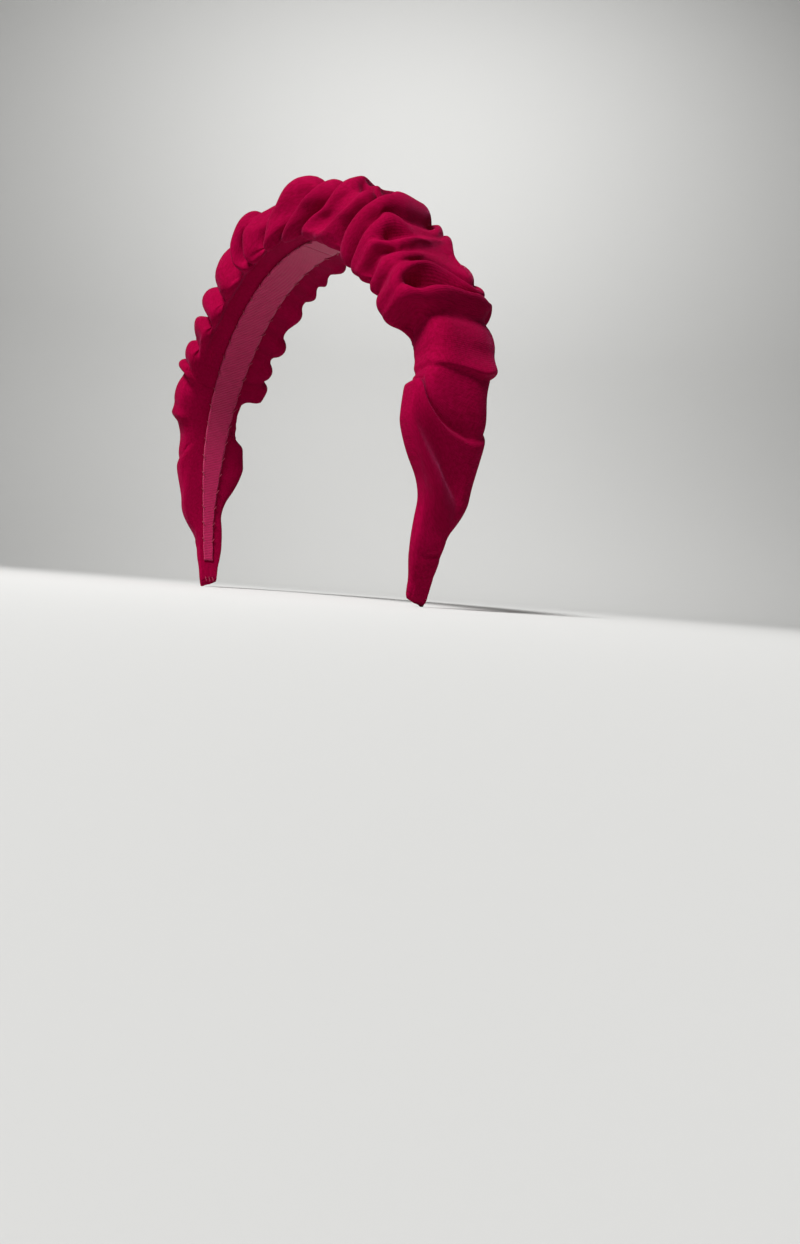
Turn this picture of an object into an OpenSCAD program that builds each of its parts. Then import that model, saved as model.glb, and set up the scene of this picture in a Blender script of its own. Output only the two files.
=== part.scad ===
// Ruched horseshoe headband: a sprung plastic core inside a padded, gathered fabric tube.
// +X is the wearer's left, -Y the face and +Z up. The origin is the point of the inner
// face that rests on top of the head, so the two arms hang down into -Z.

/* [Arch] */
// Inner radius over the top of the head
crown_r = 77; // [72:1:82]
// Turn of the crown arc, each side of the middle, in degrees
crown_turn = 39; // [36:1:42]
// Inner radius round the shoulder of the arch
shoulder_r = 94; // [88:1:100]
// Turn of the shoulder arc, in degrees
shoulder_turn = 42; // [40:1:44]
// Inner radius down the side, to the tip
side_r = 136; // [128:1:144]
// Turn of the side arc, in degrees
side_turn = 27; // [25:0.5:28]

/* [Flex] */
// Arc length from the middle of the crown to each flex line
flex_at = 35; // [32:1:38]
// Opening that the outer face leaves room for at a flex line, in degrees
flex_open = 13.6; // [13:0.2:15]
// Closing that the inner face leaves room for at a flex line, in degrees
flex_close = 7; // [6:0.5:8]
// Slot between the two sides of a flex line, at the core
flex_slot = 0.3; // [0.2:0.05:0.4]

/* [Core] */
// Thickness of the moulded core
core_t = 1.6; // [1.4:0.1:1.8]
// Half width of the core over the crown
core_half = 14; // [12:0.5:15]
// Half width of the core at the tip
core_tip_half = 2.4; // [2.2:0.1:2.5]
// Thickness of the satin sheath glued round the core
sheath_t = 0.3; // [0.2:0.05:0.3]

/* [Padding] */
// Height of the wadding over the crown
pad_h = 9; // [7:0.5:10]
// Arc length from the middle of the crown to the end of the wadding
pad_end = 150; // [140:1:155]

/* [Lining] */
// Thickness of the ribbon along the inner face
lining_t = 0.4; // [0.3:0.05:0.4]
// Half width of the ribbon over the crown
lining_half = 7; // [6:0.5:8]
// Half width of the ribbon at its end
lining_end_half = 2.2; // [2:0.1:2.4]
// Arc length from the middle of the crown to the end of the ribbon
lining_end = 174; // [170:1:176]
// Spacing of the running stitches along the ribbon's edges
stitch_pitch = 8; // [7:0.5:10]
// Length of one stitch
stitch_len = 2.6; // [2:0.2:3]

/* [Cover] */
// Half width of the gathered cover over the crown
cover_half = 20.5; // [19:0.5:22]
// Half width of the cover at the tip
cover_tip_half = 4; // [3.9:0.1:4.4]
// Thickness of the covered band over the crown
cover_h = 21; // [19:0.5:23]
// Thickness of the covered band at the tip
cover_tip_h = 4.6; // [4.5:0.1:5]
// Wall of the gathered fabric over the crown
wall_crown = 1.6; // [1.2:0.1:2]
// Wall of the fabric at the tip
wall_tip = 0.5; // [0.4:0.05:0.5]
// Gathers from tip to tip
folds = 15; // [11:2:19]
// Depth of a gather, as a share of the height over the core
fold_depth = 0.22; // [0:0.02:0.3]

/* [Hidden] */
$fn = 96;

// Layers, as distances out from the inner face of the ribbon.
gap = 0.1;
cover_lo = lining_t + gap;
sheath_lo = cover_lo + wall_tip + gap;
core_lo = sheath_lo + sheath_t + gap;
core_hi = core_lo + core_t;
sheath_hi = core_hi + gap + sheath_t;
pad_lo = sheath_hi + gap;
flex_r = (core_lo + core_hi) / 2;

// Arc lengths from the middle of the crown.
crown_len = crown_r * crown_turn * PI / 180;
shoulder_len = shoulder_r * shoulder_turn * PI / 180;
side_len = side_r * side_turn * PI / 180;
tip_at = crown_len + shoulder_len + side_len;
cover_end = tip_at - 2.2;
core_end = tip_at - 3.4;
thread_r = 0.2;
end_stitch_gap = 1.8;
end_stitch_len = 2.4;
seam_off = 0.7;
seam_w = 1.2;
seam_t = 0.8;
seam_short = 30;
far = 400;

// ---- The arch: three tangent arcs each side, as points [x, z] on the inner face ----

function turn_dir(turn) = [sin(turn), cos(turn)];
crown_c = [0, -crown_r];
shoulder_c = crown_c + (crown_r - shoulder_r) * turn_dir(crown_turn);
side_c = shoulder_c + (shoulder_r - side_r) * turn_dir(crown_turn + shoulder_turn);

function arch_turn(s) =
    s < crown_len ? s / crown_r * 180 / PI :
    s < crown_len + shoulder_len ? crown_turn + (s - crown_len) / shoulder_r * 180 / PI :
    crown_turn + shoulder_turn + (s - crown_len - shoulder_len) / side_r * 180 / PI;

function arch_c(s) =
    s < crown_len ? crown_c : s < crown_len + shoulder_len ? shoulder_c : side_c;

function arch_r(s) =
    s < crown_len ? crown_r : s < crown_len + shoulder_len ? shoulder_r : side_r;

// Point at arc length s, r out from the inner face and y along the width.
function arch_point(s, r, y) =
    let (a = abs(s), p = arch_c(a) + (arch_r(a) + r) * turn_dir(arch_turn(a)))
    [sign(s) * p[0], y, p[1]];

// Arc length of the cut at a flex line for a point r out from the inner face.
function flex_cut(r) =
    flex_slot / 2 + max(0, r - flex_r) * tan(flex_open / 2) + max(0, flex_r - r) * tan(flex_close / 2);

// Arc length at share t of a sweep, for a point r out: the ends follow the flex cut.
function arm_s(t, r, end) = let (start = flex_at + flex_cut(r)) start + t * (end - start);
function crown_s(t, r) = (2 * t - 1) * (flex_at - flex_cut(r));
function part_s(on_crown, t, r, end) = on_crown ? crown_s(t, r) : arm_s(t, r, end);

// The line at distance r from the inner face, as [x, z] points at each arc length in stops.
function line_2d(stops, r) = [
    for (s = stops) let (p = arch_point(s, r, 0)) [p[0], p[2]]
];

// The area between two such lines with equal counts of points.
module between_2d(outer, inner) {
    n = len(inner) - 1;
    polygon(concat(outer, [for (i = [n:-1:0]) inner[i]]));
}

// Side view of a layer from r = lo to r = hi, on the crown or down the wearer's left.
module layer_2d(on_crown, lo, hi, end) {
    steps = on_crown ? 16 : 32;
    function stops(r) = [for (i = [0:steps]) part_s(on_crown, i / steps, r, end)];
    between_2d(line_2d(stops(hi), hi), line_2d(stops(lo), lo));
}

// The same for a hollow, whose ends run straight past the flex lines.
module hollow_2d(on_crown, lo, hi, past, end) {
    steps = on_crown ? 16 : 32;
    from = on_crown ? -flex_at - past : flex_at - past;
    to = on_crown ? flex_at + past : end;
    stops = [for (i = [0:steps]) from + (to - from) * i / steps];
    between_2d(line_2d(stops, hi), line_2d(stops, lo));
}

// Half widths against height, as [z, half width] pairs from the bottom up.
tip_z = arch_point(tip_at, 0, 0)[2] - 4;
core_halves = [
    [tip_z, core_tip_half],
    [-119, core_tip_half * 1.4],
    [-100, core_half * 0.4],
    [-60, core_half * 0.48],
    [-15, core_half * 0.95],
    [0, core_half],
    [30, core_half]
];
lining_halves = [
    [tip_z, lining_end_half],
    [-115, lining_end_half * 1.1],
    [-70, lining_half * 0.8],
    [-30, lining_half],
    [30, lining_half]
];

module width_2d(halves, more) {
    n = len(halves) - 1;
    polygon(concat(
        [for (h = halves) [h[1] + more, h[0]]],
        [for (i = [n:-1:0]) [-halves[i][1] - more, halves[i][0]]]
    ));
}

// A strip of even thickness along the arch: its side view cut to its outline from the front.
module strip(halves, more = 0) {
    intersection() {
        rotate([90, 0, 0])
            linear_extrude(height = 4 * cover_half, center = true)
                children();
        rotate([90, 0, 90])
            linear_extrude(height = far, center = true)
                width_2d(halves, more);
    }
}

// ---- Swept shapes: rings of points joined into closed solids ----

function ring_faces(n, row) = [
    for (j = [0:n - 1]) [row + j, row + (j + 1) % n, row + n + (j + 1) % n, row + n + j]
];

module solid_sweep(rings) {
    n = len(rings[0]);
    last = (len(rings) - 1) * n;
    polyhedron(
        points = [for (ring = rings, p = ring) p],
        faces = concat(
            [[for (j = [n - 1:-1:0]) j]],
            [for (i = [0:len(rings) - 2]) each ring_faces(n, i * n)],
            [[for (j = [0:n - 1]) last + j]]
        )
    );
}

// A tube with a wall: each station is an outer ring and an inner ring with equal counts.
module tube_sweep(outer, inner) {
    n = len(outer[0]);
    rows = len(outer);
    start = rows * n;
    last = (rows - 1) * n;
    polyhedron(
        points = concat([for (ring = outer, p = ring) p], [for (ring = inner, p = ring) p]),
        faces = concat(
            [for (i = [0:rows - 2]) each ring_faces(n, i * n)],
            [for (i = [0:rows - 2], f = ring_faces(n, start + i * n)) [f[3], f[2], f[1], f[0]]],
            [for (j = [0:n - 1]) [start + j, start + (j + 1) % n, (j + 1) % n, j]],
            [for (j = [0:n - 1]) [
                last + j, last + (j + 1) % n, start + last + (j + 1) % n, start + last + j
            ]]
        )
    );
}

function ease(x) = let (c = min(1, max(0, x))) c * c * (3 - 2 * c);
function cover_half_at(s) = lookup(abs(s) / tip_at, [
    [0, cover_half], [0.45, cover_half], [0.62, cover_half * 0.82], [0.72, cover_half * 0.76],
    [0.82, cover_half * 0.45], [0.9, cover_half * 0.3], [1, cover_tip_half]
]);
function cover_h_at(s) = lookup(abs(s) / tip_at, [
    [0, cover_h], [0.3, cover_h * 0.97], [0.55, cover_h * 0.8], [0.75, cover_h * 0.5], [1, cover_tip_h]
]);
function wall_at(s) = wall_crown + (wall_tip - wall_crown) * ease(abs(s) / tip_at * 1.6 - 0.5);

// Gathers run slantwise across the band and die out towards the tips.
function gather(s, phi) =
    let (reach = 1 - ease(abs(s) / tip_at * 4 - 2.8), phase = folds * 180 * s / (2 * tip_at) + 30 * sin(phi))
    1 - fold_depth * reach * pow(abs(cos(phase)), 3);

// Cross-section: phi 0 is the rear edge, 90 the outer face and 270 the inner face. The inner face
// is flat along the head, and the outer one is domed over the crown and squarer at the tips.
ring_n = 20;
flat_power = 0.35;
dome_power = 0.8;
function power_at(phi, s) =
    sin(phi) < 0 ? flat_power : dome_power + (flat_power - dome_power) * ease(abs(s) / tip_at * 2 - 1);
function section_y(phi, half, power) = half * sign(cos(phi)) * pow(abs(cos(phi)), power);
function section_r(phi, lo, hi, power) =
    let (edge = min(1.5, (hi - lo) / 3), reach = pow(abs(sin(phi)), power))
    lo + edge + (sin(phi) < 0 ? -edge : hi - lo - edge) * reach;

function cover_rings(steps, wall_share, on_crown) = [
    for (i = [0:steps]) [
        for (j = [0:ring_n - 1])
            let (
                phi = 360 * j / ring_n,
                t = i / steps,
                s0 = part_s(on_crown, t, flex_r, cover_end),
                w = wall_at(s0) * wall_share,
                side_w = max(w, 0.5 * wall_share),
                lo = cover_lo + wall_tip * wall_share,
                hi = cover_h_at(s0) - w,
                puff = sin(phi) > 0 ? gather(s0, phi) : 1,
                half = (cover_half_at(s0) - side_w) * (0.5 + 0.5 * gather(s0, phi)),
                power = power_at(phi, s0),
                r = section_r(phi, lo, hi, power) * puff + (1 - puff) * pad_lo,
                s = part_s(on_crown, t, r, cover_end)
            )
            arch_point(s, r, section_y(phi, half, power))
    ]
];

module cover_part(on_crown, steps) {
    color("mediumvioletred")
        tube_sweep(cover_rings(steps, 0, on_crown), cover_rings(steps, 1, on_crown));
}

module padding_part(on_crown, steps) {
    color("whitesmoke")
        solid_sweep([
            for (i = [0:steps]) [
                for (j = [0:11])
                    let (
                        phi = 180 * j / 11,
                        t = i / steps,
                        s0 = part_s(on_crown, t, flex_r, pad_end),
                        h = pad_h * (1 - 0.85 * ease(abs(s0) / pad_end)),
                        r = pad_lo + h * pow(sin(phi), 0.6),
                        s = part_s(on_crown, t, r, pad_end),
                        half = 0.9 * lookup(arch_point(s0, 0, 0)[2], core_halves)
                    )
                    arch_point(s, r, half * cos(phi))
            ]
        ]);
}

// The tube's sewn seam allowance, lying inside its rear edge beside the core.
module seam_part(on_crown, steps) {
    color("crimson")
        solid_sweep([
            for (i = [0:steps]) [
                for (c = [[0, 0], [1, 0], [1, 1], [0, 1]])
                    let (
                        t = i / steps,
                        end = tip_at - seam_short,
                        s0 = part_s(on_crown, t, flex_r, end),
                        y = lookup(arch_point(s0, 0, 0)[2], core_halves) + seam_off + seam_w * c[0],
                        r = core_lo + seam_t * c[1],
                        s = part_s(on_crown, t, r, end)
                    )
                    arch_point(s, r, y)
            ]
        ]);
}

// ---- The pieces, each on the crown or on the wearer's left ----

module core_part(on_crown) {
    color("gainsboro") strip(core_halves) layer_2d(on_crown, core_lo, core_hi, core_end);
}

// The hollow for the core runs past the sheath's cut at the flex line.
module sheath_part(on_crown) {
    past = 2;
    color("palevioletred")
        difference() {
            strip(core_halves, sheath_t + gap)
                layer_2d(on_crown, sheath_lo, sheath_hi, core_end + gap + sheath_t);
            strip(core_halves, gap)
                hollow_2d(on_crown, core_lo - gap, core_hi + gap, past, core_end + gap);
        }
}

module lining_part(on_crown) {
    color("deeppink") strip(lining_halves) layer_2d(on_crown, 0, lining_t, lining_end);
}

// A short length of thread along the arch, its middle at arc length s.
module thread(s, r, y, length) {
    translate(arch_point(abs(s), r, y))
        rotate([0, 90 + arch_turn(s), 0])
            cylinder(r = thread_r, h = length, center = true);
}

module lining_stitches_part(from, to) {
    color("maroon")
        for (s = [from:stitch_pitch:to], side = [-1, 1]) {
            z = arch_point(s, 0, 0)[2];
            y = side * (lookup(z, lining_halves) + thread_r + gap);
            thread(s, lining_t - thread_r, y, stitch_len);
        }
}

// The tube's end, turned in and pressed shut over the tip of the core.
module end_fold_part() {
    color("mediumvioletred")
        solid_sweep([
            for (i = [0:4]) [
                for (j = [0:ring_n - 1])
                    let (
                        phi = 360 * j / ring_n,
                        s = cover_end + gap + (tip_at - cover_end - gap) * i / 4,
                        shrink = sqrt(1 - 0.12 * i * i / 4),
                        lo = cover_lo,
                        hi = cover_tip_h,
                        mid = (lo + hi) / 2,
                        r = mid + (section_r(phi, lo, hi, flat_power) - mid) * shrink
                    )
                    arch_point(s, r, section_y(phi, cover_tip_half, flat_power) * shrink)
            ]
        ]);
}

module end_stitches_part() {
    color("maroon")
        for (y = [-end_stitch_gap, 0, end_stitch_gap])
            thread(cover_end + gap, cover_lo - thread_r - gap / 2, y, end_stitch_len);
}

module right() {
    mirror([1, 0, 0]) children();
}

module core_crown() { core_part(true); }
module core_left() { core_part(false); }
module core_right() { right() core_left(); }
module sheath_crown() { sheath_part(true); }
module sheath_left() { sheath_part(false); }
module sheath_right() { right() sheath_left(); }
module padding_crown() { padding_part(true, 12); }
module padding_left() { padding_part(false, 20); }
module padding_right() { right() padding_left(); }
module seam_crown() { seam_part(true, 12); }
module seam_left() { seam_part(false, 24); }
module seam_right() { right() seam_left(); }
module cover_crown() { cover_part(true, 24); }
module cover_left() { cover_part(false, 48); }
module cover_right() { right() cover_left(); }
module lining_crown() { lining_part(true); }
module lining_left() { lining_part(false); }
module lining_right() { right() lining_left(); }
module lining_stitches_left() { lining_stitches_part(flex_at + 6, lining_end - 2); }
module lining_stitches_right() { right() lining_stitches_left(); }
module lining_stitches_crown() {
    lining_stitches_part(stitch_pitch / 2, flex_at - 3);
    right() lining_stitches_part(stitch_pitch / 2, flex_at - 3);
}
module end_fold_left() { end_fold_part(); }
module end_fold_right() { right() end_fold_left(); }
module end_stitches_left() { end_stitches_part(); }
module end_stitches_right() { right() end_stitches_left(); }

core_crown();
core_left();
core_right();
sheath_crown();
sheath_left();
sheath_right();
padding_crown();
padding_left();
padding_right();
seam_crown();
seam_left();
seam_right();
cover_crown();
cover_left();
cover_right();
lining_crown();
lining_left();
lining_right();
lining_stitches_crown();
lining_stitches_left();
lining_stitches_right();
end_fold_left();
end_fold_right();
end_stitches_left();
end_stitches_right();
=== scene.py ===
"""Ruched headband: a gathered crepe tube over a padded, sprung horseshoe.

Lengths in this script are in millimetres on the band and become metres when a mesh is made. A place
on the band is (s, phi, h): s is the arc length from the middle of the crown, + on the wearer's left;
phi goes round the band in degrees, 0 at the front edge, 90 at the outer face and 180 at the rear
edge; h is the height over the band's plain shape.
"""
import math

import bmesh
import bpy
import numpy as np
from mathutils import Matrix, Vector


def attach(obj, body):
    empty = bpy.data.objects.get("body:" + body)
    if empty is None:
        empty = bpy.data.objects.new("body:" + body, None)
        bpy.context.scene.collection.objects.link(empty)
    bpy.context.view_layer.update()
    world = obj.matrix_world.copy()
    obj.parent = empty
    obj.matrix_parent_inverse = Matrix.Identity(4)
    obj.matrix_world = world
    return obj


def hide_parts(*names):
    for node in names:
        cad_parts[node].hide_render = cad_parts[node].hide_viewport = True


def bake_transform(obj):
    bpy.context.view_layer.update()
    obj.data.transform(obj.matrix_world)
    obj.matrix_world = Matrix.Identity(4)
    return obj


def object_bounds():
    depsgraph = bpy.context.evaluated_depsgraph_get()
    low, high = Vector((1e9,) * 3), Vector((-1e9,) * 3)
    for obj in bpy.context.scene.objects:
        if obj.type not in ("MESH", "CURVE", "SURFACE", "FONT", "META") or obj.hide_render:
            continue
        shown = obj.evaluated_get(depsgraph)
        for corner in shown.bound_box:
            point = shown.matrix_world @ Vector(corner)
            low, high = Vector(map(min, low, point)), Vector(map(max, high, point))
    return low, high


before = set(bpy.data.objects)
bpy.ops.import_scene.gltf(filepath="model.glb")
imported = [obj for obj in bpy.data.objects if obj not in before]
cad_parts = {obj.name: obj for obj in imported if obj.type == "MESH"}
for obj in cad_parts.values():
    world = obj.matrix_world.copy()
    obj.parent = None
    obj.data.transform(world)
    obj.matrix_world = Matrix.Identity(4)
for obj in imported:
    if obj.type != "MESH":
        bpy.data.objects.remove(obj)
CAD_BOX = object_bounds()
MM = 0.001

# ---- Camera: at the photograph's viewing angle ----

CAMERA_AT = (0.30219, -0.18488, -0.13610)
CAMERA_TURN = (87.996, -4.427, 51.415)
CAMERA_LENS = 24.6


def make_camera():
    """The scene's camera, with no depth of field."""
    data = bpy.data.cameras.new("camera")
    data.lens = CAMERA_LENS
    data.clip_start = 0.005
    camera = bpy.data.objects.new("camera", data)
    camera.location = CAMERA_AT
    camera.rotation_euler = [math.radians(a) for a in CAMERA_TURN]
    bpy.context.scene.collection.objects.link(camera)
    bpy.context.scene.camera = camera


make_camera()

# ---- The arch: three tangent arcs each side of the crown ----

ARC_R = np.array([77.0, 94.0, 136.0])
ARC_TURN = np.radians([39.0, 42.0, 27.0])
ARC_END = np.cumsum(ARC_R * ARC_TURN)
TIP = ARC_END[-1]
COVER_END = TIP - 2.2
FLEX_AT = 35.0


def direction(turn):
    """The way out from the arch's centre, in x and z, at an angle from straight up."""
    return np.stack([np.sin(turn), np.cos(turn)], -1)


ARC_C = np.zeros((3, 2))
ARC_C[0] = (0, -ARC_R[0])
ARC_C[1] = ARC_C[0] + (ARC_R[0] - ARC_R[1]) * direction(ARC_TURN[0])
ARC_C[2] = ARC_C[1] + (ARC_R[1] - ARC_R[2]) * direction(ARC_TURN[0] + ARC_TURN[1])


def arch(s, r, y):
    """Points at arc length s, r out from the inner face and y along the width, in mm."""
    s, r, y = np.broadcast_arrays(np.asarray(s, float), r, y)
    a = np.abs(s)
    k = np.minimum(np.searchsorted(ARC_END, a), 2)
    start = np.concatenate([[0], ARC_END])[k]
    turn = np.concatenate([[0], np.cumsum(ARC_TURN)])[k] + (a - start) / ARC_R[k]
    x = ARC_C[k, 0] + (ARC_R[k] + r) * np.sin(turn)
    z = ARC_C[k, 1] + (ARC_R[k] + r) * np.cos(turn)
    return np.stack([x * np.where(s < 0, -1, 1), y, z], -1)


# ---- Curves through a few chosen points ----

def ease(x):
    """A smooth step from 0 to 1 while x runs from 0 to 1."""
    x = np.clip(x, 0, 1)
    return x * x * (3 - 2 * x)


def fade(x, start, length):
    """A smooth step from 0 to 1 over a length that begins at start."""
    return ease((x - start) / length)


def smooth_through(points, at):
    """A curve through (x, value) points that never overshoots them."""
    x, v = np.array(points, float).T
    at = np.clip(at, x[0], x[-1])
    d = np.diff(v) / np.diff(x)
    m = np.zeros(len(x))
    m[0], m[-1] = d[0], d[-1]
    same = d[:-1] * d[1:] > 0
    m[1:-1][same] = 2 * d[:-1][same] * d[1:][same] / (d[:-1] + d[1:])[same]
    k = np.clip(np.searchsorted(x, at, side="right") - 1, 0, len(x) - 2)
    w = x[k + 1] - x[k]
    t = (at - x[k]) / w
    return (
        v[k] * (1 + 2 * t) * (1 - t) ** 2 + m[k] * w * t * (1 - t) ** 2
        + v[k + 1] * t * t * (3 - 2 * t) + m[k + 1] * w * t * t * (t - 1)
    )


def ring_through(points, phi):
    """A closed curve round the band through (phi, value) points."""
    p = np.array(points, float)
    turn = np.array([360.0, 0.0])
    return smooth_through(np.concatenate([p - turn, p, p + turn]), phi)


# ---- The band's plain shape: half widths and thickness against arc length ----

FRONT_HALF = [
    (0, 21.3), (65, 21.3), (85, 21.5), (92, 19.8), (95.5, 15), (99, 11.5), (103, 10.6), (109, 11.2),
    (117, 16.5), (126, 18.5), (136, 15.6), (145, 10.4), (152, 8.6), (165, 8.2), (175, 6.2), (186, 3.4)
]
REAR_HALF = [
    (0, 21.3), (65, 21.3), (90, 21), (104, 20.3), (112, 17), (117, 14.6), (125, 15.4), (136, 14.6),
    (145, 13.2), (152, 11.4), (160, 6.8), (167, 4.6), (186, 4.2)
]
THICKNESS = [(0, 20.7), (93, 17.5), (150, 8.6), (186, 3.0)]
DOME_POWER = 0.7
FLAT_POWER = 0.35
COVER_LO = 0.5
# Over the head the soft edges hang a little below the inner face. The droop fades in towards the
# edge, out up the side and out along the arm, each over a (start, length) of cosine, sine and mm.
FRONT_DROOP = 5.5
REAR_DROOP = 2.5
DROOP_EDGE = (0.55, 0.24)
DROOP_SIDE = (0.05, 0.75)
DROOP_ARM = (58, 32)


def plain(s, phi):
    """The plain shape's point at arc length s and angle phi, without folds."""
    a = np.abs(s)
    c, sn = np.cos(np.radians(phi)), np.sin(np.radians(phi))
    left = s >= 0
    front = np.where(left, smooth_through(FRONT_HALF, a), smooth_through(REAR_HALF, a))
    rear = np.where(left, smooth_through(REAR_HALF, a), smooth_through(FRONT_HALF, a))
    half = np.where(c > 0, front, rear)
    y = -np.sign(c) * half * np.abs(c) ** DOME_POWER
    mid = smooth_through(THICKNESS, a) / 2
    r = np.where(
        sn > 0,
        mid * (1 + np.abs(sn) ** DOME_POWER),
        COVER_LO + (mid - COVER_LO) * (1 - np.abs(sn) ** FLAT_POWER),
    )
    edge = fade(np.abs(c), *DROOP_EDGE) * (1 - fade(sn, *DROOP_SIDE)) * (1 - fade(a, *DROOP_ARM))
    r = r - edge * np.where(c > 0, FRONT_DROOP, REAR_DROOP)
    return arch(s, r, y)


def unit(v):
    """Vectors at length 1."""
    return v / np.maximum(np.linalg.norm(v, axis=-1, keepdims=True), 1e-9)


# Half the arc length and angle that the outward direction is taken over
OUT_S = 3.0
OUT_PHI = 6.0


def out_of(s, phi):
    """The plain shape's outward direction, smoothed over a few millimetres."""
    along = plain(s + OUT_S, phi) - plain(s - OUT_S, phi)
    over = plain(s, phi + OUT_PHI) - plain(s, phi - OUT_PHI)
    return unit(np.cross(along, over))


# ---- Folds: valleys and crests in turn, each a line round the band of (phi, s, h) points ----
# The first number of a line is its softness: 0 is a sharp crease or edge, 1 a broad wave. The places
# of lines that the photo shows follow the output of a scratch script, which turned points picked on
# the photo into places on the band. Most heights on the crown, up to an arc length of 62, were
# multiplied by common factors. Places and heights were also changed one by one.

NEAR_FOLDS = [
    (0.5, [(-60, 84.5, -2), (4, 83.7, -1.5), (16, 83.3, -1.2), (46, 81.8, -0.3), (90, 79, 0),
           (97, 81, -0.3), (109, 83, -0.3), (130, 80, -2), (150, 75, -3)]),
    (0.8, [(-60, 89, 1), (-3, 88.7, 1.7), (17, 87, 1.7), (35, 85.5, 1.7), (56, 83.6, 1.7),
           (79, 81.8, 1.7), (89, 81.5, 1.2), (97, 83.2, 0.9), (109, 85.5, 0.8), (130, 84, 0.8),
           (150, 80, 0)]),
    (0.4, [(-60, 93, 0.8), (0, 91, 1.6), (20, 89.3, 1.2), (33, 88, -1.5), (50, 87.8, -5.5),
           (72, 86.6, -6), (89, 85.6, -5.5), (102, 86, -3), (112, 86.8, -0.5), (130, 86, -1),
           (150, 83, -2.5)]),
    (0.8, [(-60, 94, 1), (-4, 93, 2), (15, 92, 2), (31, 91.5, 2), (48, 92, 2), (72, 91, 2.2),
           (89, 89.8, 2.2), (108, 88.5, 2), (127, 88, 1.5), (150, 87, 1)]),
    (0.7, [(-60, 97.5, -3), (-10, 97, -3.5), (10, 96.6, -3.5), (20, 96.4, -3.2), (30, 96.4, -3),
           (50, 96.5, -2.6), (80, 96, -2.2), (108, 94.5, -2), (127, 92.5, -2), (155, 91, -3)]),
    (1.0, [(-60, 104.5, -0.3), (0, 103.5, 0), (20, 102.8, 0), (50, 102.3, 0), (90, 101.5, -0.4),
           (140, 99.5, -0.8), (160, 98, 0)]),
    (1.0, [(-60, 106.5, -0.3), (20, 105.5, -0.2), (48, 106.5, -0.2), (78, 106.3, -0.3),
           (113, 105, -1.3), (150, 103.5, -0.8)]),
    (0.3, [(-60, 109, 0), (13, 109.8, 0.3), (33, 110.8, 0.5), (48, 111.2, 0.5), (78, 111.5, 0.4),
           (98, 111.5, 0.6), (113, 111.5, 1), (129, 110.5, 1.4), (150, 108.5, 1)]),
    (0.5, [(-60, 111, -1.2), (13, 111.2, -1), (33, 112.1, -0.9), (48, 112.4, -0.9),
           (78, 112.7, -0.9), (98, 112.7, -1), (113, 112.7, -1.1), (129, 111.7, -1.1),
           (160, 110, -1.2)]),
    (1.0, [(-60, 112, -0.9), (13, 113.1, -0.9), (29, 115.6, -1), (48, 119, -0.8), (70, 121.5, -0.5),
           (100, 123, -0.3), (130, 122.5, -0.3), (160, 120, -0.3)]),
    (0.4, [(-60, 113.2, -2), (10, 114.5, -2), (29, 116.8, -2), (47, 121.4, -2.4), (62, 124.8, -2.6),
           (80, 128.7, -2.4), (101, 131, -2), (120, 130.8, -1.3), (160, 128, -1.3)]),
    (0.3, [(-60, 115.5, 0), (10, 116.3, 0.3), (29, 118, 0.7), (47, 123.2, 0.9), (62, 126.8, 0.9),
           (80, 130.7, 0.8), (101, 133.2, 0.4), (120, 133, 0.2), (150, 131, 0)]),
    (1.0, [(-60, 123, -0.4), (10, 124, -0.3), (52, 133, -1.6), (66, 136.5, -2.2), (79, 140.5, -2.6),
           (94, 146, -2.2), (120, 148, -1), (150, 146, -1)]),
    (1.0, [(-60, 132, 0), (10, 131, 0), (44, 139.5, 0.8), (55, 143.5, 1.2), (74, 147, 1.3),
           (90, 151, 1), (103, 155.5, 0.5), (150, 156, 0)]),
    (1.0, [(-60, 147, -0.8), (0, 150, -0.8), (50, 156, -0.8), (90, 160, -0.6), (150, 162, -0.5)]),
    (1.0, [(-60, 158, 0), (0, 162, 0), (60, 166, 0), (100, 165.5, 0.2), (150, 166, 0)]),
    (0.9, [(-60, 166, -0.1), (50, 169, -0.1), (85, 168.2, -0.5), (110, 167.7, -0.6),
           (150, 169, -0.2)]),
    (1.0, [(-60, 170, 0), (50, 171.3, 0), (75, 171.6, 0.3), (100, 169.8, 0.3), (150, 171, 0)]),
    (1.0, [(-60, 177, -0.3), (90, 178, -0.3), (150, 177, -0.3)]),
]
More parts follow.
